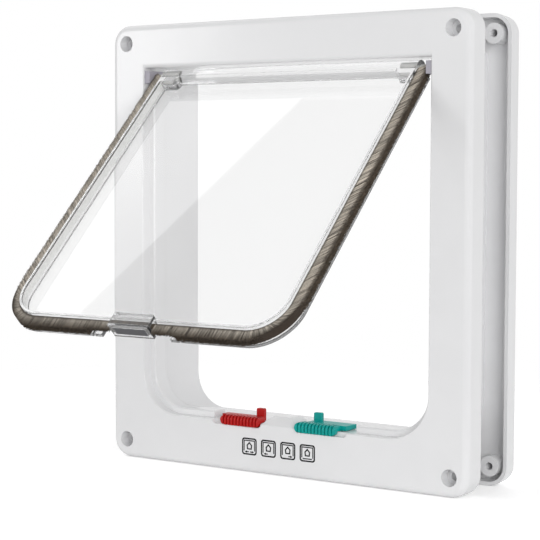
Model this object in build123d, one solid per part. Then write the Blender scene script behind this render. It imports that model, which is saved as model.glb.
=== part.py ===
"""White cat flap: two frames with a telescoping tunnel, a clear flap with a pile seal and two lock slides."""
import math
import os

from build123d import *

# X runs to the right seen from the room, Y goes into the door and Z is up, in millimetres.
# The origin lies on the door's face, at the middle of the four fixing holes.

# Frames
frame_width = 235.0
frame_height = 250.0
frame_corner_r = 11.0
front_depth = 14.5
front_skin = 3.0
front_wall = 2.6
front_edge_r = 3.5
lintel_edge_r = 2.2
mouth_chamfer = 0.6
door_gap = 29.0
rear_depth = 11.5
rear_skin = 2.6
rear_wall = 2.2
rear_draft = 0.8
rear_chamfer = 2.0

# Fixing holes
fixing_inset = 10.5
front_boss_d = 12.8
screw_hole_d = 4.6
counterbore_d = 9.0
counterbore_depth = 7.0
rear_boss_d = 11.0
pilot_hole_d = 4.2
pilot_hole_depth = 9.0

# Tunnel
side_border = 23.3
top_border = 24.6
bottom_border = 27.8
opening_corner_r = 24.0
sleeve_wall = 2.2
sleeve_reach = 7.0
telescope_clear = 0.35
telescope_overlap = 5.0
rear_corner_step = 6.0
seal_track = 6.0
ridge_height = 3.4
ridge_length = 10.0
ridge_step = 0.4
ridge_ease = 0.8

# Stiffening ribs inside the front frame
rib_thickness = 1.8
rib_depth = 6.5
side_rib_pitch = 84.0
cross_rib_pitch = 80.0

# Hinge
hinge_drop = 5.4
hinge_set_back = 8.6
pin_d = 4.0
pin_clear = 0.05
pin_in_lug = 11.0
pin_end_gap = 0.4
block_front_gap = 1.0
block_length = 12.6
block_height = 6.8
block_above_axis = 3.6
block_proud = 0.1
block_clear = 0.08

# Flap
rim_depth = 9.0
rim_wall = 1.5
panel_thickness = 2.0
flange_reach = 4.7
flange_corner_r = 23.0
bar_below_axis = 3.5
lug_width = 11.5
lug_below_axis = 8.0
lug_corner_r = 2.5
strip_below_axis = 3.2
latch_notch_half = 21.5
stub_end = 26.4
stub_slit = 1.2
open_angle = 44.9

# Pile seal
pile_side = 6.6
pile_foot = 6.7
pile_width = 4.9
pile_front_gap = 1.2
pile_seat = 0.05
pile_clear = 0.4
relief_half = 27.2
relief_clear = 0.5

# Magnet clip
clip_width = 25.0
clip_wall = 1.5
clip_seat = 0.1
clip_lip = 1.6
clip_below_flange = 0.6
clip_floor = 1.8
clip_corner_r = 1.2
flap_magnet_length = 20.0
flap_magnet_width = 4.4
flap_magnet_thickness = 1.2

# Sill magnet and its housing
magnet_gap = 1.0
housing_base = 22.4
housing_top = 11.0
housing_lip = 0.8
housing_slope = 5.2
sill_magnet_length = 9.6
sill_magnet_width = 6.0
sill_magnet_height = 3.0
housing_roof = 1.5
magnet_seat = 0.1

# Lock slides
slide_travel = 6.0
grip_length = 26.4
grip_inner_end = 11.8
grip_proud = 1.2
grip_wall = 2.8
grip_top_depth = 6.2
grip_above_sill = 3.2
grip_below_sill = 2.2
grip_nose_r = 2.4
grip_nose_facets = 4
grip_end_r = 2.6
rib_count = 12
rib_groove = 0.9
rib_groove_depth = 0.7
plate_above_sill = 2.8
plate_lift = 0.3
plate_tail = 3.0
tab_width = 5.0
tab_thickness = 2.2
tab_inner_end = 15.0
tab_bite = 1.4
tab_flap_clear = 0.4
tab_corner_r = 0.8
slide_clear = 0.3
notch_depth = 2.2
notch_corner_r = 1.9
stem_length = 8.0
stem_width = 3.0
stem_offset = 13.0
foot_overhang = 1.2
foot_thickness = 1.6

# Tolerance for finding edges by their place
pick = 0.01

# Levels that follow from the sizes above
show_y = -front_depth
rear_plane_y = door_gap
rear_show_y = door_gap + rear_depth
sleeve_end_y = sleeve_reach
opening_half = frame_width / 2 - side_border
opening_top = frame_height / 2 - top_border
opening_bottom = bottom_border - frame_height / 2
ridge_y = show_y + seal_track
ridge_end_y = ridge_y + ridge_length
hinge_y = show_y + hinge_set_back
hinge_z = opening_top - hinge_drop
rim_front_y = hinge_y - rim_depth / 2
rim_rear_y = hinge_y + rim_depth / 2
panel_front_y = rim_rear_y - panel_thickness
pile_tip_half = opening_half - ridge_height - pile_clear
rim_half = pile_tip_half - pile_side
pile_tip_z = opening_bottom + ridge_height + pile_clear
rim_foot_z = pile_tip_z + pile_foot
flange_half = rim_half + flange_reach
flange_foot_z = rim_foot_z - flange_reach
rim_corner_r = flange_corner_r - flange_reach
tab_top_z = flange_foot_z + tab_bite
clip_foot_z = flange_foot_z - clip_below_flange
clip_front_y = rim_front_y - clip_seat - clip_wall
clip_back_y = panel_front_y - clip_seat
housing_top_z = clip_foot_z - magnet_gap
strip_top_z = hinge_z - strip_below_axis
tail_end = grip_inner_end + grip_length + plate_tail
pocket_half = tail_end + slide_travel + slide_clear
stem_y = show_y + front_skin + foot_overhang + slide_clear


def front_view(y):
    """Sketch plane seen from the room, at depth y."""
    return Plane(origin=(0, y, 0), x_dir=(1, 0, 0), z_dir=(0, -1, 0))


def slab(profile, y0, y1):
    """Front-view profile extruded from depth y0 to depth y1."""
    return extrude(front_view(y0) * profile, amount=y0 - y1)


def side_bar(points, x0, x1):
    """Side-view outline of (y, z) points, extruded from x0 to x1."""
    face = make_face(Polyline(*points, close=True))
    return extrude(Plane(origin=(x0, 0, 0), x_dir=(0, 1, 0), z_dir=(1, 0, 0)) * face, amount=x1 - x0)


def block(x0, x1, y0, y1, z0, z1):
    """Box between six levels."""
    return Pos((x0 + x1) / 2, (y0 + y1) / 2, (z0 + z1) / 2) * Box(x1 - x0, y1 - y0, z1 - z0)


def bay(half, top, foot, radius):
    """Door-shaped outline: square at the top, rounded at the two bottom corners."""
    face = Pos(0, (top + foot) / 2) * Rectangle(2 * half, top - foot)
    return fillet(face.vertices().sort_by(Axis.Y)[:2], radius)


def grown(extra, radius):
    """Tunnel outline moved outward by extra, or inward if it is negative."""
    return bay(opening_half + extra, opening_top + extra, opening_bottom - extra, radius)


def plate(inset, radius):
    """Outline of a frame moved inward by inset."""
    return RectangleRounded(frame_width - 2 * inset, frame_height - 2 * inset, radius)


def fixing_points():
    """Places of the four fixing holes."""
    return GridLocations(frame_width - 2 * fixing_inset, frame_height - 2 * fixing_inset, 2, 2)


def along_y(diameter, y0, y1):
    """Round bars at the four fixing holes, from depth y0 to depth y1."""
    return slab(Sketch() + [place * Circle(diameter / 2) for place in fixing_points()], y0, y1)


def both_sides(right):
    """The right-hand solid and its mirror image."""
    return right + mirror(right, about=Plane.YZ)


def front_frame():
    """Hollow front moulding with the front sleeve, screw bosses, hinge windows and the slides' sill."""
    body = slab(plate(0, frame_corner_r), show_y, 0)
    body = fillet(body.faces().sort_by(Axis.Y)[0].edges(), front_edge_r)
    sleeve_outer = grown(sleeve_wall, opening_corner_r + sleeve_wall)
    hollow = plate(front_wall, frame_corner_r - front_wall) - sleeve_outer
    body -= slab(hollow, show_y + front_skin, sleeve_end_y)
    body += slab(sleeve_outer, -front_wall, sleeve_end_y)

    # Ribs from the sleeve to the outer wall, and a boss round each screw
    rib_y = show_y + front_skin
    rib_end = rib_y + rib_depth
    rib_half = rib_thickness / 2
    in_sleeve = sleeve_wall / 2
    half_w = frame_width / 2 - front_wall / 2
    half_h = frame_height / 2 - front_wall / 2
    for z in (-side_rib_pitch / 2, side_rib_pitch / 2):
        z0 = z - rib_half
        body += both_sides(block(opening_half + in_sleeve, half_w, rib_y, rib_end, z0, z0 + rib_thickness))
    x0 = cross_rib_pitch / 2 - rib_half
    for z0, z1 in ((opening_top + in_sleeve, half_h), (-half_h, opening_bottom - in_sleeve)):
        body += both_sides(block(x0, x0 + rib_thickness, rib_y, rib_end, z0, z1))
    body += along_y(front_boss_d, show_y + front_skin / 2, 0)
    body -= along_y(screw_hole_d, show_y, 0)
    body -= along_y(counterbore_d, show_y, show_y + counterbore_depth)

    # Tunnel: a seal track at the mouth, then a ridge with an eased front edge, then the full width again
    shoulder_y = ridge_y + ridge_step
    crest_y = shoulder_y + ridge_ease
    body -= slab(inside_ridge(0), show_y, ridge_y)
    body -= ramp(ridge_y, 0, shoulder_y, ridge_height - ridge_ease)
    body -= ramp(shoulder_y, ridge_height - ridge_ease, crest_y, ridge_height)
    body -= slab(inside_ridge(ridge_height), crest_y, ridge_end_y)
    body -= slab(inside_ridge(0), ridge_end_y, sleeve_end_y)
    mouth = [e for e in body.edges().filter_by_position(Axis.Y, show_y - pick, show_y + pick) if on_mouth(e)]
    lintel = [e for e in mouth if e.center().Z > opening_top - pick]
    body = fillet(lintel, lintel_edge_r)
    mouth = [e for e in body.edges().filter_by_position(Axis.Y, show_y - pick, show_y + pick) if on_mouth(e)]
    body = chamfer([e for e in mouth if e.center().Z < opening_top - pick], mouth_chamfer)

    # Sill: a flat pocket for the slides, with the magnet housing standing in its middle
    pocket_top = opening_bottom + 2 * ridge_height
    body -= block(-pocket_half, pocket_half, ridge_y, ridge_end_y, opening_bottom, pocket_top)
    body += magnet_housing()
    body -= block(
        -sill_magnet_length / 2 - magnet_seat,
        sill_magnet_length / 2 + magnet_seat,
        hinge_y - sill_magnet_width / 2 - magnet_seat,
        hinge_y + sill_magnet_width / 2 + magnet_seat,
        opening_bottom - sleeve_wall - rib_depth,
        housing_top_z - housing_roof,
    )
    body -= both_sides(slide_notch() + stem_slot())

    # Windows for the hinge blocks
    y0, y1, z0, z1 = block_levels(block_clear)
    body -= both_sides(block(opening_half - 2 * ridge_height, opening_half + sleeve_wall, y0, y1, z0, z1))
    return body


def inside_ridge(height):
    """Outline inside a ridge that stands in from the tunnel's walls and sill, but not from its ceiling."""
    return bay(opening_half - height, opening_top, opening_bottom + height, opening_corner_r - height)


def ramp(y0, height0, y1, height1):
    """Cut whose outline narrows evenly from one ridge height to another."""
    return loft([front_view(y0) * inside_ridge(height0), front_view(y1) * inside_ridge(height1)], ruled=True)


def on_mouth(edge):
    """True for an edge of the tunnel's mouth, and not of a screw hole or the outline."""
    centre = edge.bounding_box().center()
    size = edge.bounding_box().size
    inside = abs(centre.X) < opening_half + 1 and opening_bottom - 1 < centre.Z < opening_top + 1
    return inside and size.X + size.Z > counterbore_d


def magnet_housing():
    """Raised block on the sill: sloped at the front and at both ends."""
    front = show_y + housing_lip
    side = side_bar(
        [
            (front, opening_bottom - sleeve_wall / 2),
            (front, opening_bottom),
            (front + housing_slope, housing_top_z),
            (ridge_end_y, housing_top_z),
            (ridge_end_y, opening_bottom - sleeve_wall / 2),
        ],
        -housing_base / 2,
        housing_base / 2,
    )
    ends = Polyline(
        (-housing_base / 2, opening_bottom - sleeve_wall / 2),
        (-housing_base / 2, opening_bottom),
        (-housing_top / 2, housing_top_z),
        (housing_top / 2, housing_top_z),
        (housing_base / 2, opening_bottom),
        (housing_base / 2, opening_bottom - sleeve_wall / 2),
        close=True,
    )
    return side & slab(make_face(ends), show_y, sleeve_end_y)


def slide_notch():
    """Notch in the sill's front edge in which a grip runs, with round lower corners."""
    x0 = grip_inner_end - slide_clear
    x1 = grip_inner_end + grip_length + slide_travel + slide_clear
    depth = grip_below_sill + slide_clear
    face = Pos((x0 + x1) / 2, opening_bottom) * Rectangle(x1 - x0, 2 * depth)
    face = fillet(face.vertices().sort_by(Axis.Y)[:2], notch_corner_r)
    return slab(face, show_y, show_y + notch_depth)


def stem_slot():
    """Slot through the sill for the stem under a slide."""
    x0 = grip_inner_end + stem_offset - slide_clear
    y0 = stem_y - slide_clear
    length = stem_length + slide_travel + 2 * slide_clear
    width = stem_width + 2 * slide_clear
    return block(x0, x0 + length, y0, y0 + width, opening_bottom - 2 * sleeve_wall, opening_bottom)


def block_levels(extra):
    """Depth and height levels of a hinge block, grown by extra on each side."""
    y0 = show_y + block_front_gap
    z1 = hinge_z + block_above_axis
    return y0 - extra, y0 + block_length + extra, z1 - block_height - extra, z1 + extra


def hinge_block():
    """Right-hand bearing block that fills its window in the tunnel wall."""
    y0, y1, z0, z1 = block_levels(0)
    x0 = opening_half - ridge_height - block_proud
    x1 = opening_half + sleeve_wall
    body = block(x0, x1, y0, y1, z0, z1)
    bore = Cylinder(pin_d / 2 + pin_clear, x1 - x0, rotation=(0, 90, 0))
    return body - Pos((x0 + x1) / 2, hinge_y, hinge_z) * bore


def hinge_pin():
    """Right-hand hinge pin from inside the flap's lug to inside the bearing block."""
    x0 = rim_half - pin_in_lug
    x1 = opening_half + sleeve_wall - pin_end_gap
    return Pos((x0 + x1) / 2, hinge_y, hinge_z) * Cylinder(pin_d / 2, x1 - x0, rotation=(0, 90, 0))


def rear_frame():
    """Rear moulding: a shallow tray with screw bosses and the outer tunnel sleeve."""
    rim = front_view(rear_plane_y) * plate(0, frame_corner_r)
    back = front_view(rear_show_y) * plate(rear_draft, frame_corner_r - rear_draft)
    body = loft([rim, back], ruled=True)
    body = chamfer(body.faces().sort_by(Axis.Y)[-1].edges(), rear_chamfer)
    bore = sleeve_wall + telescope_clear
    bore_r = opening_corner_r + bore - rear_corner_step
    sleeve = grown(bore + sleeve_wall, bore_r + sleeve_wall)
    hollow = plate(rear_wall, frame_corner_r - rear_wall) - sleeve
    body -= slab(hollow, rear_plane_y, rear_show_y - rear_skin)
    body += slab(sleeve, sleeve_end_y - telescope_overlap, rear_show_y - rear_skin)
    body += along_y(rear_boss_d, rear_plane_y, rear_show_y - rear_skin / 2)
    body -= along_y(pilot_hole_d, rear_plane_y, rear_plane_y + pilot_hole_depth)
    return body - slab(grown(bore, bore_r), sleeve_end_y - telescope_overlap, rear_show_y)


def flap_panel():
    """Clear flap, hanging shut: a tray with a rim, a top bar over the hinge axis and an outer flange."""
    rim_outer = bay(rim_half, hinge_z, rim_foot_z, rim_corner_r)
    rim_inner = bay(rim_half - rim_wall, hinge_z, rim_foot_z + rim_wall, rim_corner_r - rim_wall)
    body = slab(bay(flange_half, strip_top_z, flange_foot_z, flange_corner_r), panel_front_y, rim_rear_y)
    body += slab(rim_outer, panel_front_y, rim_rear_y)
    body += slab(rim_outer - rim_inner, rim_front_y, rim_rear_y)
    bar = Pos(0, hinge_y, hinge_z) * Cylinder(rim_depth / 2, 2 * rim_half, rotation=(0, 90, 0))
    bar += block(-rim_half, rim_half, rim_front_y, rim_rear_y, hinge_z - bar_below_axis, hinge_z)
    lug = block(rim_half - lug_width, rim_half, rim_front_y, rim_rear_y, hinge_z - lug_below_axis, hinge_z)
    lug_foot = lug.faces().sort_by(Axis.Z)[0]
    inner_foot = lug_foot.edges().filter_by(Axis.Y).sort_by(Axis.X)[0]
    body += bar + both_sides(fillet(inner_foot, lug_corner_r))
    pin_hole = Cylinder(pin_d / 2, pin_in_lug, rotation=(0, 90, 0))
    body -= both_sides(Pos(rim_half - pin_in_lug / 2, hinge_y, hinge_z) * pin_hole)

    # The flange is cut away where the lock slides pass
    body -= block(-latch_notch_half, latch_notch_half, panel_front_y, rim_rear_y, flange_foot_z, rim_foot_z)
    slit_top = rim_foot_z - rim_wall
    slit = block(stub_end, stub_end + stub_slit, panel_front_y, rim_rear_y, flange_foot_z, slit_top)
    return body - both_sides(slit)


def pile_strip():
    """Pile seal along both sides and the foot of the rim, shorter where the lock slides pass."""
    y0 = rim_front_y + pile_front_gap
    tip = bay(pile_tip_half, strip_top_z, pile_tip_z, rim_corner_r + pile_foot)
    seat = bay(rim_half + pile_seat, hinge_z, rim_foot_z - pile_seat, rim_corner_r + pile_seat)
    body = slab(tip - seat, y0, y0 + pile_width)
    body -= block(-relief_half, relief_half, y0, y0 + pile_width, pile_tip_z, tab_top_z + relief_clear)
    return body


def magnet_clip():
    """Clear clip pushed from the front over the foot of the rim: a lip above it and a floor below it."""
    inner = clip_front_y + clip_wall
    shelf = rim_foot_z + rim_wall + clip_seat
    top = shelf + clip_lip
    floor = clip_foot_z + clip_floor
    points = [
        (clip_front_y, clip_foot_z),
        (clip_front_y, top),
        (clip_back_y, top),
        (clip_back_y, shelf),
        (inner, shelf),
        (inner, floor),
        (clip_back_y, floor),
        (clip_back_y, clip_foot_z),
    ]
    body = side_bar(points, -clip_width / 2, clip_width / 2)
    tops = [e for e in body.edges().filter_by(Axis.Y) if e.center().Z > top - pick]
    body = fillet(tops, clip_corner_r)
    return body - flap_magnet(magnet_seat)


def flap_magnet(extra=0.0):
    """Magnet plate let into the underside of the clip, grown by extra for its seat."""
    middle = (clip_front_y + clip_back_y) / 2
    return block(
        -flap_magnet_length / 2 - extra,
        flap_magnet_length / 2 + extra,
        middle - flap_magnet_width / 2 - extra,
        middle + flap_magnet_width / 2 + extra,
        clip_foot_z,
        clip_foot_z + flap_magnet_thickness,
    )


def sill_magnet():
    """Bar magnet pushed up into the housing on the sill."""
    top = housing_top_z - housing_roof
    return block(
        -sill_magnet_length / 2,
        sill_magnet_length / 2,
        hinge_y - sill_magnet_width / 2,
        hinge_y + sill_magnet_width / 2,
        top - sill_magnet_height,
        top,
    )


def lock_slide(tab_y):
    """Right-hand lock slide at its inner end: a ribbed grip, a top plate, a tab at depth tab_y and a stem."""
    front = show_y - grip_proud
    top = opening_bottom + grip_above_sill
    foot = opening_bottom - grip_below_sill
    plate_top = opening_bottom + plate_above_sill
    under = opening_bottom + plate_lift
    x0 = grip_inner_end
    x1 = grip_inner_end + grip_length

    def outline(inset, facets):
        """L-shaped side outline moved inward by inset, its front top corner turned in flat facets."""
        reach = grip_nose_r - inset
        y = front + grip_nose_r
        z = top - grip_nose_r
        turns = [math.pi / 2 * i / facets for i in range(facets + 1)]
        return [
            (front + inset, foot),
            *[(y - reach * math.cos(turn), z + reach * math.sin(turn)) for turn in turns],
            (front + grip_top_depth, top - inset),
            (front + grip_top_depth, under),
            (front + grip_wall, under),
            (front + grip_wall, foot),
        ]

    height = top - foot
    ends = Pos((x0 + x1) / 2, top - height / 2) * RectangleRounded(grip_length, height, grip_end_r)
    body = side_bar(outline(0, grip_nose_facets), x0, x1) & slab(ends, front, front + grip_top_depth)
    pitch = grip_length / rib_count
    for i in range(1, rib_count):
        g0 = x0 + i * pitch - rib_groove / 2
        g1 = g0 + rib_groove
        ring = block(g0, g1, front, front + grip_top_depth, foot, top)
        body -= ring - side_bar(outline(rib_groove_depth, 1), g0, g1)

    # Plate over the sill behind the grip, with its tail at the outer end and the tab at the inner one
    back = tab_y + tab_thickness
    grip_back = front + grip_top_depth
    body += block(tab_inner_end, tail_end, grip_back, back, under, plate_top)
    body += block(tab_inner_end, x1 - grip_end_r, grip_back - grip_wall, back, under, plate_top)
    tab = block(tab_inner_end, tab_inner_end + tab_width, tab_y, back, under, tab_top_z)
    ears = [e for e in tab.edges().filter_by(Axis.Y) if e.center().Z > plate_top]
    body += fillet(ears, tab_corner_r)

    # Stem through the slot, with a foot that keeps the slide down
    s0 = grip_inner_end + stem_offset
    y0 = stem_y
    foot_top = opening_bottom - sleeve_wall - slide_clear
    body += block(s0, s0 + stem_length, y0, y0 + stem_width, foot_top - foot_thickness, plate_top)
    body += block(
        s0,
        s0 + stem_length,
        y0 - foot_overhang,
        y0 + stem_width + foot_overhang,
        foot_top - foot_thickness,
        foot_top,
    )
    return body


def swung(shape):
    """A flap piece moved from hanging shut to standing open into the room."""
    return shape.rotate(Axis((0, hinge_y, hinge_z), (-1, 0, 0)), open_angle)


red_tab_y = panel_front_y - tab_flap_clear - tab_thickness
green_tab_y = rim_rear_y + tab_flap_clear
right_block = hinge_block()
right_pin = hinge_pin()

parts = {
    "front_frame": front_frame(),
    "rear_frame": rear_frame(),
    "left_hinge_block": mirror(right_block, about=Plane.YZ),
    "right_hinge_block": right_block,
    "sill_magnet": sill_magnet(),
    "flap_panel": swung(flap_panel()),
    "left_hinge_pin": mirror(right_pin, about=Plane.YZ),
    "right_hinge_pin": right_pin,
    "pile_strip": swung(pile_strip()),
    "magnet_clip": swung(magnet_clip()),
    "flap_magnet": swung(flap_magnet()),
    "red_slide": mirror(lock_slide(red_tab_y), about=Plane.YZ),
    "green_slide": lock_slide(green_tab_y),
}

os.makedirs("parts", exist_ok=True)
for name, shape in parts.items():
    export_step(shape, f"parts/{name}.step")
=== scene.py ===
"""Looks of the white cat flap: white frames, a clear flap with a pile seal, two lock slides and four signs."""
import math
import random

import bmesh
import bpy
from mathutils import Matrix, Vector, noise


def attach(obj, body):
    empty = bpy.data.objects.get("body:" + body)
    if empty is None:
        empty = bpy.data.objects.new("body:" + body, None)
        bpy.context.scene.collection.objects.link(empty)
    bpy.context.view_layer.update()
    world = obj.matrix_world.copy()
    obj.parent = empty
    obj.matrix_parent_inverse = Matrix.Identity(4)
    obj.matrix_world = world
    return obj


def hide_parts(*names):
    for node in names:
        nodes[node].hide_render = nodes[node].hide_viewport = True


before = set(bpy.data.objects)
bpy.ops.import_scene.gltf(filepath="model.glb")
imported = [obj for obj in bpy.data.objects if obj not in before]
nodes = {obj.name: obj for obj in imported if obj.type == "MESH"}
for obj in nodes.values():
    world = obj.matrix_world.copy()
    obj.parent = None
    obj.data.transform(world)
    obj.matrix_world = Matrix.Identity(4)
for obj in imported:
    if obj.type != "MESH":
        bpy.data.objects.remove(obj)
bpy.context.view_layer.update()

# Sizes in metres, shared with the frame's own solids
MM = 0.001
SHOW_Y = -14.5 * MM
MIDDLE_Y = 13.0 * MM
HINGE = Vector((0, -5.9 * MM, 95.0 * MM))
OPEN_ANGLE = math.radians(44.9)
RIM_HALF = 83.8 * MM
RIM_FOOT_Z = -86.7 * MM
RIM_CORNER_R = 18.3 * MM
STRIP_TOP_Z = 91.8 * MM
PILE_FRONT_Y = -9.2 * MM
PILE_WIDTH = 4.9 * MM
PILE_SIDE = 6.6 * MM
PILE_FOOT = 6.7 * MM
RELIEF_HALF = 27.2 * MM
RELIEF_REACH = 2.8 * MM
CLIP_HALF = 12.5 * MM
FLOOR_Z = -125.0 * MM


def linear(code):
    """sRGB hex to linear RGBA."""
    values = [int(code[i:i + 2], 16) / 255 for i in (1, 3, 5)]
    return [v / 12.92 if v <= 0.04045 else ((v + 0.055) / 1.055) ** 2.4 for v in values] + [1.0]


def new_material(name):
    """Material with only an output node, its tree and that output."""
    material = bpy.data.materials.new(name)
    material.use_nodes = True
    tree = material.node_tree
    tree.nodes.clear()
    output = tree.nodes.new("ShaderNodeOutputMaterial")
    return material, tree, output


def node(tree, kind, settings=None, *sources, **links):
    """Adds a node: settings are its properties and socket values.

    Sources feed its sockets in order, links feed them by name.
    """
    made = tree.nodes.new(kind)
    for key, value in (settings or {}).items():
        if key in made.inputs:
            made.inputs[key].default_value = value
        else:
            setattr(made, key, value)
    for socket, source in zip(made.inputs, sources):
        tree.links.new(source, socket)
    for key, source in links.items():
        tree.links.new(source, made.inputs[key.replace("_", " ")])
    return made


def stops(ramp, *pairs):
    """Sets a colour ramp's stops from (place, hex) pairs."""
    elements = ramp.color_ramp.elements
    while len(elements) < len(pairs):
        elements.new(0.5)
    for element, (place, code) in zip(elements, pairs):
        element.position = place
        element.color = linear(code)
    return ramp


# Moulded surfaces: how wide the tone drifts, and how far the gloss and the grain go
DRIFT_MM = 45.5
SMOOTHER = 0.05
ROUGHER = 0.06
GRAIN_STRENGTH = 0.35
WAVE_STRENGTH = 0.05
WAVE_HEIGHT_MM = 0.05
HAZE = 0.02
# Fleck of the pile's yarn, drawn coarser than the real one so that it shows
FLECK_MM = 1.11


def moulded_plastic(name, pale, deep, roughness, grain_mm, grain_height_mm, edge_mm, gloss_level=0.5):
    """Opaque moulded plastic: soft tone drift, a fine grained gloss and slightly eased edges."""
    material, tree, output = new_material(name)
    place = node(tree, "ShaderNodeTexCoord").outputs["Object"]
    drift = node(tree, "ShaderNodeTexNoise", {"Scale": 1000.0 / DRIFT_MM, "Detail": 3.0}, Vector=place)
    ramp = node(tree, "ShaderNodeValToRGB", {}, Fac=drift.outputs["Fac"])
    tone = stops(ramp, (0.35, deep), (0.65, pale))
    grain = node(tree, "ShaderNodeTexNoise", {"Scale": 1000.0 / grain_mm, "Detail": 2.0}, Vector=place)
    gloss = node(
        tree,
        "ShaderNodeMapRange",
        {"To Min": roughness - SMOOTHER, "To Max": roughness + ROUGHER},
        Value=grain.outputs["Fac"],
    )
    eased = node(tree, "ShaderNodeBevel", {"samples": 4, "Radius": edge_mm * MM})
    bump = node(
        tree,
        "ShaderNodeBump",
        {"Strength": GRAIN_STRENGTH, "Distance": grain_height_mm * MM},
        Height=grain.outputs["Fac"],
        Normal=eased.outputs["Normal"],
    )
    shader = node(
        tree,
        "ShaderNodeBsdfPrincipled",
        {"IOR": 1.52, "Specular IOR Level": gloss_level},
        Base_Color=tone.outputs["Color"],
        Roughness=gloss.outputs["Result"],
        Normal=bump.outputs["Normal"],
    )
    tree.links.new(shader.outputs["BSDF"], output.inputs["Surface"])
    return material


def clear_plastic(name, tint, clearness, roughness, loss_per_m, wave_mm, edge_mm):
    """Clear moulded plastic: a faint haze, flow waves, eased edges that draw lines, long paths that go grey."""
    material, tree, output = new_material(name)
    place = node(tree, "ShaderNodeTexCoord").outputs["Object"]
    flow = node(tree, "ShaderNodeTexNoise", {"Scale": 1000.0 / wave_mm, "Detail": 1.0}, Vector=place)
    eased = node(tree, "ShaderNodeBevel", {"samples": 4, "Radius": edge_mm * MM})
    bump = node(
        tree,
        "ShaderNodeBump",
        {"Strength": WAVE_STRENGTH, "Distance": WAVE_HEIGHT_MM * MM},
        Height=flow.outputs["Fac"],
        Normal=eased.outputs["Normal"],
    )
    haze = node(
        tree,
        "ShaderNodeMapRange",
        {"To Min": roughness, "To Max": roughness + HAZE},
        Value=flow.outputs["Fac"],
    )
    shader = node(
        tree,
        "ShaderNodeBsdfPrincipled",
        {"Base Color": linear("#FFFFFF"), "IOR": 1.50, "Transmission Weight": clearness},
        Roughness=haze.outputs["Result"],
        Normal=bump.outputs["Normal"],
    )
    depth = node(tree, "ShaderNodeVolumeAbsorption", {"Color": linear(tint), "Density": loss_per_m})
    tree.links.new(shader.outputs["BSDF"], output.inputs["Surface"])
    tree.links.new(depth.outputs["Volume"], output.inputs["Volume"])
    return material


def pile_fibre(name):
    """Woven pile seal: dull fibres in the tones their mesh gives them, which carry painted light and shade, with a
    fleck along the yarn.
    """
    material, tree, output = new_material(name)
    tone = node(tree, "ShaderNodeVertexColor", {"layer_name": "fibre"})
    place = node(tree, "ShaderNodeTexCoord").outputs["Object"]
    speck = node(tree, "ShaderNodeTexNoise", {"Scale": 1000.0 / FLECK_MM, "Detail": 2.0}, Vector=place)
    fleck = node(tree, "ShaderNodeMapRange", {"To Min": 0.75, "To Max": 1.2}, Value=speck.outputs["Fac"])
    mixed = node(
        tree, "ShaderNodeHueSaturation", {}, Color=tone.outputs["Color"], Value=fleck.outputs["Result"]
    )
    shader = node(
        tree,
        "ShaderNodeBsdfPrincipled",
        {"Roughness": 0.8, "Specular IOR Level": 0.2, "Sheen Weight": 0.1, "Sheen Roughness": 0.5},
        Base_Color=mixed.outputs["Color"],
    )
    tree.links.new(shader.outputs["BSDF"], output.inputs["Surface"])
    return material


# Satin white ABS, the tone of the frames in soft light
white_abs = moulded_plastic(
    "moulded_white_abs", "#EAEAEB", "#E7E7E8", roughness=0.20, grain_mm=0.6, grain_height_mm=0.006, edge_mm=0.35
)
# Lavender grey acetal of the bearing blocks, a little softer in gloss; the grey is partly their own tone and
# partly painted shade from the lintel above them
grey_acetal_and_painted_shade = moulded_plastic(
    "moulded_grey_acetal_and_painted_shade", "#ACA9B2", "#A4A1AA",
    roughness=0.42, grain_mm=0.5, grain_height_mm=0.01, edge_mm=0.25, gloss_level=0.35,
)
# Milky nylon of the pins
pin_nylon = moulded_plastic(
    "moulded_pin_nylon", "#E4E4E2", "#DADAD8", roughness=0.38, grain_mm=0.5, grain_height_mm=0.01, edge_mm=0.2
)
# Pressed ferrite, dark and dull with a coarse grain
ferrite = moulded_plastic(
    "sintered_ferrite", "#4A4A4D", "#3C3C40", roughness=0.55, grain_mm=0.25, grain_height_mm=0.02, edge_mm=0.15
)
# Deep red ABS of the slide that stops the flap on its way to the front, with a low gloss
red_abs = moulded_plastic(
    "moulded_red_abs", "#BA100D", "#B00D0A",
    roughness=0.36, grain_mm=0.5, grain_height_mm=0.01, edge_mm=0.2, gloss_level=0.22,
)
# Teal ABS of the slide that stops the flap on its way to the rear, with a low gloss
green_abs = moulded_plastic(
    "moulded_teal_abs", "#08A59E", "#059C95",
    roughness=0.36, grain_mm=0.5, grain_height_mm=0.01, edge_mm=0.2, gloss_level=0.22,
)
# Clear polycarbonate: faces carry a faint haze, edges go grey
clear_pc = clear_plastic(
    "moulded_clear_polycarbonate", "#8A8D91",
    clearness=0.94, roughness=0.0, loss_per_m=10.0, wave_mm=30.0, edge_mm=0.7,
)
# The same clear plastic in the small clip, with more flow marks
clear_clip_pc = clear_plastic(
    "moulded_clear_clip", "#8A8D91", clearness=0.97, roughness=0.01, loss_per_m=30.0, wave_mm=8.0, edge_mm=0.6
)
# Taupe pile, soft and dull, with painted shade between its fibres
taupe_pile = pile_fibre("woven_taupe_pile")
# Black screen-printing ink, slightly uneven in gloss
sign_ink = moulded_plastic(
    "printed_black_ink", "#17171A", "#0F0F12",
    roughness=0.5, grain_mm=0.2, grain_height_mm=0.004, edge_mm=0.02, gloss_level=0.2,
)

finish_of = {
    "front_frame": white_abs,
    "rear_frame": white_abs,
    "left_hinge_block": grey_acetal_and_painted_shade,
    "right_hinge_block": grey_acetal_and_painted_shade,
    "sill_magnet": ferrite,
    "flap_magnet": ferrite,
    "flap_panel": clear_pc,
    "magnet_clip": clear_clip_pc,
    "left_hinge_pin": pin_nylon,
    "right_hinge_pin": pin_nylon,
    "pile_strip": taupe_pile,
    "red_slide": red_abs,
    "green_slide": green_abs,
}
for name, material in finish_of.items():
    nodes[name].data.materials.clear()
    nodes[name].data.materials.append(material)
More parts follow.
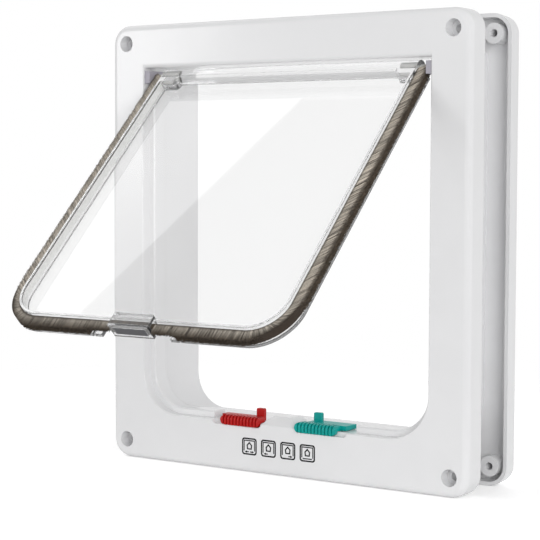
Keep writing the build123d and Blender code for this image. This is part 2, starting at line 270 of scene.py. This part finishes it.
# Light passes the clear pieces to what stands behind them
for name in ("flap_panel", "magnet_clip"):
    nodes[name].visible_shadow = False
    nodes[name].visible_diffuse = False


def add_piece(name, mesh, material, body):
    """Links a mesh as a piece that moves with a body."""
    piece = bpy.data.objects.new(name, mesh)
    bpy.context.scene.collection.objects.link(piece)
    mesh.materials.append(material)
    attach(piece, body)
    return piece


# Pile: fibre spacing and width are drawn coarser than the real yarn, which no pixel would show
FIBRE_STEP = 0.24 * MM
FIBRE_ROWS = 14
FRONT_ROWS = 4
BACK_ROWS = 2
FIBRE_HALF = 0.14 * MM
# Shares of a fibre's reach: its shortest, its start in the tape, and how much the sides lean to the hinge
FIBRE_SHORTEST = 0.86
FIBRE_START = 0.08
SIDE_LEAN = 0.8
# Sway of neighbours together, stray of one alone, fan of the top ends, turn of the outer rows in radians
SWAY = 5.0 * MM
SWAY_REACH = 0.9 * MM
STRAY = 0.3 * MM
FAN = 5.0 * MM
FAN_LEAST = 0.3
OUTER_TURN = 0.6
# Tones: clumps and single fibres differ at random; the foot gets less painted light than the sides, and the
# stretch of painted light lies mid-fibre
CLUMP = 0.8 * MM
CLUMP_CONTRAST = 0.6
FIBRE_DULLEST = 0.72
FIBRE_BRIGHTEST = 1.2
FOOT_PAINTED_LIT_SHARE = 0.68
ROOT_MIX = 0.2
PAINTED_LIT_START = 0.2
PAINTED_LIT_END_FOOT = 0.3
PAINTED_LIT_END_SIDE = 0.7
# Painted light and shade of the pile: a lit tone for the flanks, a shaded tone for the tips, a deep shade for the
# roots and the core; the tape's grey is its own colour
PILE_PAINTED_LIT = Vector(linear("#C8BFB2")[:3])
PILE_PAINTED_SHADE = Vector(linear("#594F44")[:3])
PILE_PAINTED_DEEP_SHADE = Vector(linear("#3A3129")[:3])
PILE_TAPE = Vector(linear("#E4E4E2")[:3])
# Tape, and a core in painted shade, a little inside the fibres' tips
TAPE_LIFT = 0.05 * MM
CORE_INSET = 0.4 * MM
CORE_SHARE = 0.8
CORE_STEP = 1.0 * MM
# The fibres beside the clip are trimmed
CLIP_TRIM = 0.8 * MM


def rim_path(step):
    """Points along the rim from the top right down, round the foot and up the left.

    Each is (x, z, outward x, outward z).
    """
    inner = RIM_HALF - RIM_CORNER_R
    foot = RIM_FOOT_Z + RIM_CORNER_R
    right = []
    for i in range(int((STRIP_TOP_Z - foot) / step) + 1):
        right.append((RIM_HALF, STRIP_TOP_Z - i * step, 1.0, 0.0))
    turns = max(2, int(RIM_CORNER_R * math.pi / 2 / step))
    for i in range(turns + 1):
        a = -math.pi / 2 * i / turns
        ox, oz = math.cos(a), math.sin(a)
        right.append((inner + RIM_CORNER_R * ox, foot + RIM_CORNER_R * oz, ox, oz))
    flat = int(inner / step)
    for i in range(1, flat + 1):
        right.append((inner * (1 - i / flat), RIM_FOOT_Z, 0.0, -1.0))
    left = [(-x, z, -ox, oz) for x, z, ox, oz in reversed(right[:-1])]
    return right + left


def on_foot(x, z, half):
    """Whether a point of the rim lies on the straight foot, within half of the middle."""
    return z < RIM_FOOT_Z + MM and abs(x) < half


def pile_reach(x, z, ox, across):
    """How far the pile stands out at a point of the rim; across runs from 0 at its front to 1 at its back."""
    if on_foot(x, z, RELIEF_HALF):
        trimmed = abs(x) > CLIP_HALF + MM and across < 0.5
        return PILE_FOOT - CLIP_TRIM if trimmed else RELIEF_REACH
    return PILE_FOOT + (PILE_SIDE - PILE_FOOT) * abs(ox)


def pile_mesh():
    """Grey tape on the rim, a core in painted shade and a dense stand of flat fibres that sway in clumps."""
    rng = random.Random(7)
    points = []
    tones = []
    faces = []
    core_front = PILE_FRONT_Y + CORE_INSET
    core_back = PILE_FRONT_Y + PILE_WIDTH - CORE_INSET

    def at(row, out, y):
        x, z, ox, oz = row
        return Vector((x + ox * out, y, z + oz * out))

    def add(corners, shades):
        first = len(points)
        points.extend(corners)
        tones.extend(shades)
        faces.append(range(first, first + len(corners)))

    def core_section(row):
        out = CORE_SHARE * min(pile_reach(*row[:3], 0.0), pile_reach(*row[:3], 1.0))
        inner = [at(row, TAPE_LIFT, core_back), at(row, TAPE_LIFT, core_front)]
        return inner + [at(row, out, core_front), at(row, out, core_back)]

    rows = rim_path(CORE_STEP)
    sections = [core_section(row) for row in rows]
    # The tape's face keeps its own grey; the core's other faces and its two ends carry painted shade
    for a, b in zip(sections, sections[1:]):
        for i in range(4):
            j = (i + 1) % 4
            shade = PILE_TAPE if i == 0 else PILE_PAINTED_DEEP_SHADE
            add([a[i], a[j], b[j], b[i]], [shade] * 4)
    for end in (sections[0], sections[-1]):
        add(end, [PILE_PAINTED_DEEP_SHADE] * 4)

    # Fibres: painted light along the flanks of the strip, painted shade at the root and where one looks down on
    # the tips
    for row in rim_path(FIBRE_STEP):
        x, z, ox, oz = row
        tangent = Vector((-oz, 0, ox))
        up_side = ox * ox
        for k in range(FIBRE_ROWS):
            across = (k + rng.random()) / FIBRE_ROWS
            y = PILE_FRONT_Y + across * PILE_WIDTH
            length = pile_reach(x, z, ox, across) * rng.uniform(FIBRE_SHORTEST, 1.0)
            base = at(row, FIBRE_START * length, y)
            # Up the sides the fibres lean to the hinge, and at the top end they fan out round the pin
            lean = tangent * (SWAY_REACH * noise.noise(base / SWAY) + rng.uniform(-STRAY, STRAY))
            lean.z += SIDE_LEAN * up_side * length
            top = at(row, length, y) + lean
            top.z = min(top.z, STRIP_TOP_Z + FAN * rng.uniform(FAN_LEAST, 1.0))
            front = k < FRONT_ROWS
            back = k >= FIBRE_ROWS - BACK_ROWS
            turn = rng.uniform(-OUTER_TURN, OUTER_TURN) if front or back else rng.uniform(0, math.pi)
            side = (tangent * math.cos(turn) + Vector((0, math.sin(turn), 0))) * FIBRE_HALF
            clump = 1 + CLUMP_CONTRAST * noise.noise(base / CLUMP)
            shade = clump * rng.uniform(FIBRE_DULLEST, FIBRE_BRIGHTEST)
            # Painted light and shade: tips take the shaded tone; flank rows take the lit tone, less of it on the
            # foot; fibres behind the clip take the shaded tone as a painted shadow of the clip; roots are darkened
            # as painted shade
            tip = PILE_PAINTED_SHADE * shade
            in_painted_clip_shade = on_foot(x, z, CLIP_HALF + MM)
            pale = FOOT_PAINTED_LIT_SHARE + (1 - FOOT_PAINTED_LIT_SHARE) * up_side
            middle = PILE_PAINTED_LIT * shade * pale if (front or back) and not in_painted_clip_shade else tip
            root = PILE_PAINTED_DEEP_SHADE.lerp(middle, ROOT_MIX)
            stages = [(0.0, root), (1.0, tip)]
            if front:
                painted_lit_end = PAINTED_LIT_END_FOOT + (PAINTED_LIT_END_SIDE - PAINTED_LIT_END_FOOT) * up_side
                stages = [(0.0, root), (PAINTED_LIT_START, middle), (painted_lit_end, middle), (1.0, tip)]
            for (low, tone_low), (high, tone_high) in zip(stages, stages[1:]):
                p, q = base.lerp(top, low), base.lerp(top, high)
                shades = [tone_low, tone_low, tone_high, tone_high]
                add([p - side, p + side, q + side, q - side], shades)
    mesh = bpy.data.meshes.new("pile_fibres")
    mesh.from_pydata(points, [], faces)
    layer = mesh.color_attributes.new("fibre", "FLOAT_COLOR", "POINT")
    layer.data.foreach_set("color", [v for tone in tones for v in (*tone, 1.0)])
    swing = Matrix.Rotation(OPEN_ANGLE, 4, (-1, 0, 0))
    mesh.transform(Matrix.Translation(HINGE) @ swing @ Matrix.Translation(-HINGE))
    return mesh


pile = add_piece("pile_fibres", pile_mesh(), taupe_pile, "flap")
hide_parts("pile_strip")


# Signs printed under the sill, in millimetres: a rounded frame with a small house and a mark for each lock setting
SIGN_X = [-18.85, -5.95, 6.95, 19.8]
SIGN_Z = -110.4
SIGN_WIDTH = 10.0
SIGN_HEIGHT = 9.5
SIGN_CORNER_R = 1.6
SIGN_INNER_R = 1.0
SIGN_LINE = 0.85
DOOR_LINE = 0.6
DOOR_SIDE = 1.15
DOOR_TOP = 1.25
DOOR_FOOT = 2.2
ROOF = [(-1.9, 0.7), (0, 2.6), (1.9, 0.7), (1.6, -1.75), (-1.6, -1.75)]
ROOM = [(-1.1, 0.4), (0, 1.5), (1.1, 0.4), (0.9, -1.05), (-0.9, -1.05)]
MARK_Z = -3.05
MARK_HALF = 0.3
BAR_END = 3.0
ARROW_START = 0.4
ARROW_NECK = 1.7
ARROW_TIP = 3.2
ARROW_HALF = 0.7
INK = 0.03
INK_LIFT = 0.005


def rounded(half_w, half_h, radius, steps=6):
    """Outline of a rounded rectangle round the origin."""
    points = []
    for cx, cz, start in ((1, 1, 0), (-1, 1, 90), (-1, -1, 180), (1, -1, 270)):
        for i in range(steps + 1):
            a = math.radians(start + 90 * i / steps)
            x = cx * (half_w - radius) + radius * math.cos(a)
            z = cz * (half_h - radius) + radius * math.sin(a)
            points.append((x, z))
    return points


def sign_mesh(kind):
    """One sign round its middle: a frame, a doorway, a house and arrows or a bar."""
    bm = bmesh.new()

    def vert(x, z):
        return bm.verts.new((x * MM, 0, z * MM))

    def ring(outer, inner):
        a = [vert(*p) for p in outer]
        b = [vert(*p) for p in inner]
        for i in range(len(a)):
            j = (i + 1) % len(a)
            bm.faces.new((a[i], a[j], b[j], b[i]))

    def patch(*points):
        bm.faces.new([vert(*p) for p in points])

    def mark(x0, x1):
        low, high = MARK_Z - MARK_HALF, MARK_Z + MARK_HALF
        patch((x0, low), (x1, low), (x1, high), (x0, high))

    half_w, half_h = SIGN_WIDTH / 2, SIGN_HEIGHT / 2
    inside = rounded(half_w - SIGN_LINE, half_h - SIGN_LINE, SIGN_INNER_R)
    ring(rounded(half_w, half_h, SIGN_CORNER_R), inside)
    # Doorway
    w, top, foot = half_w - DOOR_SIDE, half_h - DOOR_TOP, -half_h + DOOR_FOOT
    inner_w, inner_top = w - DOOR_LINE, top - DOOR_LINE
    patch((-w, foot), (-w, top), (-inner_w, inner_top), (-inner_w, foot))
    patch((-w, top), (w, top), (inner_w, inner_top), (-inner_w, inner_top))
    patch((w, top), (w, foot), (inner_w, foot), (inner_w, inner_top))
    # House
    ring(ROOF, ROOM)
    arrows = {"both": (-1, 1), "inward": (-1,), "outward": (1,), "shut": ()}[kind]
    for side in arrows:
        neck = side * ARROW_NECK
        mark(side * ARROW_START, neck)
        patch((neck, MARK_Z - ARROW_HALF), (side * ARROW_TIP, MARK_Z), (neck, MARK_Z + ARROW_HALF))
    if not arrows:
        mark(-BAR_END, BAR_END)
    bmesh.ops.recalc_face_normals(bm, faces=bm.faces)
    solid = bmesh.ops.extrude_face_region(bm, geom=list(bm.faces))
    lifted = [v for v in solid["geom"] if isinstance(v, bmesh.types.BMVert)]
    bmesh.ops.translate(bm, vec=(0, -INK * MM, 0), verts=lifted)
    bmesh.ops.recalc_face_normals(bm, faces=bm.faces)
    mesh = bpy.data.meshes.new(f"lock_sign_{kind}")
    bm.to_mesh(mesh)
    bm.free()
    return mesh


for kind, x in zip(("both", "inward", "outward", "shut"), SIGN_X):
    mesh = sign_mesh(kind)
    mesh.transform(Matrix.Translation((x * MM, SHOW_Y - INK_LIFT * MM, SIGN_Z * MM)))
    add_piece(f"lock_sign_{kind}", mesh, sign_ink, "front")


# Floor, soft lamps and the white surroundings
FLOOR_LIFT = 0.36
FLOOR_SPECK_MM = 16.7
FLOOR_FADE = (0.14, 0.55)
FLOOR_RINGS = (0.15, 0.3, 0.6, 1.2)
FLOOR_SPOKES = 48
FLOOR_DROP = 0.1 * MM


def floor_material():
    """Matt white floor that fades into the white surroundings away from the object."""
    material, tree, output = new_material("matt_white_floor")
    place = node(tree, "ShaderNodeTexCoord").outputs["Object"]
    speck = node(tree, "ShaderNodeTexNoise", {"Scale": 1000.0 / FLOOR_SPECK_MM, "Detail": 2.0}, Vector=place)
    ramp = node(tree, "ShaderNodeValToRGB", {}, Fac=speck.outputs["Fac"])
    tone = stops(ramp, (0.3, "#FAFAFA"), (0.7, "#FDFDFD"))
    matt = node(tree, "ShaderNodeBsdfDiffuse", {}, Color=tone.outputs["Color"])
    far = node(tree, "ShaderNodeVectorMath", {"operation": "LENGTH"}, Vector=place)
    near_edge, far_edge = FLOOR_FADE
    fade = node(
        tree,
        "ShaderNodeMapRange",
        {"From Min": near_edge, "From Max": far_edge, "interpolation_type": "SMOOTHSTEP"},
        Value=far.outputs["Value"],
    )
    clear = node(tree, "ShaderNodeBsdfTransparent")
    # The floor looks as white as the backdrop to rays that see it, and keeps the object's shadow
    ray = node(tree, "ShaderNodeLightPath").outputs
    most = {"operation": "MAXIMUM"}
    direct = node(tree, "ShaderNodeMath", most, ray["Is Camera Ray"], ray["Is Glossy Ray"])
    seen = node(tree, "ShaderNodeMath", most, direct.outputs["Value"], ray["Is Transmission Ray"])
    lift = node(tree, "ShaderNodeMath", {"operation": "MULTIPLY"}, seen.outputs["Value"])
    lift.inputs[1].default_value = FLOOR_LIFT
    glow = node(tree, "ShaderNodeEmission", {"Color": linear("#FFFFFF")}, Strength=lift.outputs["Value"])
    pale = node(tree, "ShaderNodeAddShader", {}, matt.outputs["BSDF"], glow.outputs["Emission"])
    mix = node(
        tree, "ShaderNodeMixShader", {}, fade.outputs["Result"], pale.outputs["Shader"], clear.outputs["BSDF"]
    )
    tree.links.new(mix.outputs["Shader"], output.inputs["Surface"])
    return material


def add_floor():
    """Round floor under the frames' foot."""
    bm = bmesh.new()
    centre = bm.verts.new((0, 0, 0))
    last = None
    for radius in FLOOR_RINGS:
        ring = []
        for i in range(FLOOR_SPOKES):
            a = 2 * math.pi * i / FLOOR_SPOKES
            ring.append(bm.verts.new((radius * math.cos(a), radius * math.sin(a), 0)))
        for i in range(FLOOR_SPOKES):
            j = (i + 1) % FLOOR_SPOKES
            wedge = (centre, ring[i], ring[j])
            bm.faces.new(wedge if last is None else (last[i], ring[i], ring[j], last[j]))
        last = ring
    mesh = bpy.data.meshes.new("studio_floor")
    bm.to_mesh(mesh)
    bm.free()
    mesh.materials.append(floor_material())
    floor = bpy.data.objects.new("studio_floor", mesh)
    floor.location = (0, MIDDLE_Y, FLOOR_Z - FLOOR_DROP)
    bpy.context.scene.collection.objects.link(floor)


def add_lamp(name, place, aim, along, length, width, radiance):
    """Soft rectangular lamp aimed at a point, its length running along a given direction."""
    data = bpy.data.lights.new(name, "AREA")
    data.shape = "RECTANGLE"
    data.size = length
    data.size_y = width
    data.energy = radiance * math.pi * length * width
    lamp = bpy.data.objects.new(name, data)
    back = (Vector(place) - Vector(aim)).normalized()
    across = back.cross(Vector(along)).normalized()
    turn = Matrix((across.cross(back), across, back)).transposed().to_4x4()
    lamp.matrix_world = Matrix.Translation(place) @ turn
    bpy.context.scene.collection.objects.link(lamp)
    return lamp


def around(azimuth, elevation, distance):
    """Point seen from the middle of the door face: azimuth from straight ahead to the right, in degrees."""
    a, e = math.radians(azimuth), math.radians(elevation)
    return Vector((math.sin(a) * math.cos(e), -math.cos(a) * math.cos(e), math.sin(e))) * distance


# Where the surroundings grow dim: by the height of a direction, and by how near it is to the front right
MIRRORED_HIGH = (0.3, 0.6)
BENT_HIGH = (0.12, 0.35)
FRONT_AZIMUTH = 45.0
FRONT_NEAR = (0.6, 0.85)


def set_world(level, mirrored_ceiling, mirrored_front, bent_ceiling):
    """Even soft light and a white backdrop, which mirrored and bent rays see too.

    Mirrored rays meet a dim front, so that round edges show. Bent rays meet a dark ceiling, so that clear
    edges draw lines.
    """
    world = bpy.data.worlds.new("white_studio")
    bpy.context.scene.world = world
    world.use_nodes = True
    tree = world.node_tree
    tree.nodes.clear()
    output = tree.nodes.new("ShaderNodeOutputWorld")
    ray = node(tree, "ShaderNodeLightPath").outputs
    place = node(tree, "ShaderNodeTexCoord").outputs["Generated"]
    height = node(tree, "ShaderNodeSeparateXYZ", {}, Vector=place).outputs["Z"]
    ahead = node(tree, "ShaderNodeVectorMath", {"operation": "DOT_PRODUCT"}, place)
    ahead.inputs[1].default_value = around(FRONT_AZIMUTH, 0.0, 1.0)
    dim = []
    for source, (start, end) in (
        (height, MIRRORED_HIGH),
        (height, BENT_HIGH),
        (ahead.outputs["Value"], FRONT_NEAR),
    ):
        settings = {"From Min": start, "From Max": end, "interpolation_type": "SMOOTHSTEP"}
        dim.append(node(tree, "ShaderNodeMapRange", settings, Value=source).outputs["Result"])
    high, rise, front = dim
    glow = []
    for strength in (level, 1.0, mirrored_ceiling, mirrored_front, bent_ceiling):
        settings = {"Color": linear("#FFFFFF"), "Strength": strength}
        glow.append(node(tree, "ShaderNodeBackground", settings).outputs["Background"])
    soft, white, ceiling_glow, front_glow, bent_glow = glow
    mix = "ShaderNodeMixShader"
    mirrored = node(tree, mix, {}, high, white, ceiling_glow).outputs["Shader"]
    mirrored = node(tree, mix, {}, front, mirrored, front_glow).outputs["Shader"]
    bent = node(tree, mix, {}, rise, white, bent_glow).outputs["Shader"]
    seen = node(tree, mix, {}, ray["Is Glossy Ray"], soft, mirrored).outputs["Shader"]
    seen = node(tree, mix, {}, ray["Is Transmission Ray"], seen, bent).outputs["Shader"]
    seen = node(tree, mix, {}, ray["Is Camera Ray"], seen, white).outputs["Shader"]
    tree.links.new(seen, output.inputs["Surface"])


# The photograph's camera: turns in degrees, place in metres, sensor and lens in millimetres
CAMERA_TURNS = (35.16, 3.40, 0.21)
CAMERA_PLACE = (0.526, -0.7688, 0.0428)
CAMERA_SENSOR = 36.0
CAMERA_LENS = 112.9


def add_camera():
    """Camera placed as the photograph's, looking from the right and a little above."""
    yaw, pitch, roll = (math.radians(a) for a in CAMERA_TURNS)
    back = Vector((math.sin(yaw) * math.cos(pitch), -math.cos(yaw) * math.cos(pitch), math.sin(pitch)))
    level = Vector((0, 0, 1)).cross(back).normalized()
    above = back.cross(level)
    right = level * math.cos(roll) + above * math.sin(roll)
    up = above * math.cos(roll) - level * math.sin(roll)
    data = bpy.data.cameras.new("photo_camera")
    data.sensor_width = CAMERA_SENSOR
    data.lens = CAMERA_LENS
    camera = bpy.data.objects.new("photo_camera", data)
    turn = Matrix((right, up, back)).transposed().to_4x4()
    camera.matrix_world = Matrix.Translation(CAMERA_PLACE) @ turn
    bpy.context.scene.collection.objects.link(camera)
    bpy.context.scene.camera = camera


UPRIGHT = (0, 0, 1)
add_floor()
# A box on the left that only the frame's upper left corner mirrors
add_lamp(
    "left_box", around(-45.5, 9.5, 1.2), aim=(0, 0, 0.06), along=UPRIGHT, length=0.36, width=0.28, radiance=5.5
)
# A box high on the left that the open flap mirrors, with its edge across the panel
add_lamp(
    "flap_box",
    (-0.804, 0.080, 0.816),
    aim=(-0.134, 0.0965, -0.056),
    along=(-0.564, -0.696, -0.447),
    length=0.7,
    width=0.45,
    radiance=0.9,
)
# A large box on the right that reaches into the tunnel and between the two frames; no gloss shows it
camera_box = add_lamp(
    "camera_box", around(51.0, 8.0, 1.3), aim=(0, 0.01, 0), along=UPRIGHT, length=0.5, width=0.5, radiance=8.8
)
camera_box.visible_glossy = False
# A box behind the door that lifts the rear side; neither the clear flap nor any gloss shows it
rear_box = add_lamp(
    "rear_box", around(200.0, 12.0, 1.4), aim=(0, 0.03, 0), along=UPRIGHT, length=0.6, width=0.6, radiance=4.5
)
rear_box.visible_camera = False
rear_box.visible_transmission = False
rear_box.visible_glossy = False
set_world(level=0.53, mirrored_ceiling=0.95, mirrored_front=0.15, bent_ceiling=0.05)
add_camera()

scene = bpy.context.scene
scene.view_settings.view_transform = "Standard"
scene.cycles.max_bounces = 16
scene.cycles.transmission_bounces = 14
scene.cycles.transparent_max_bounces = 12
scene.cycles.caustics_refractive = False
scene.cycles.caustics_reflective = False
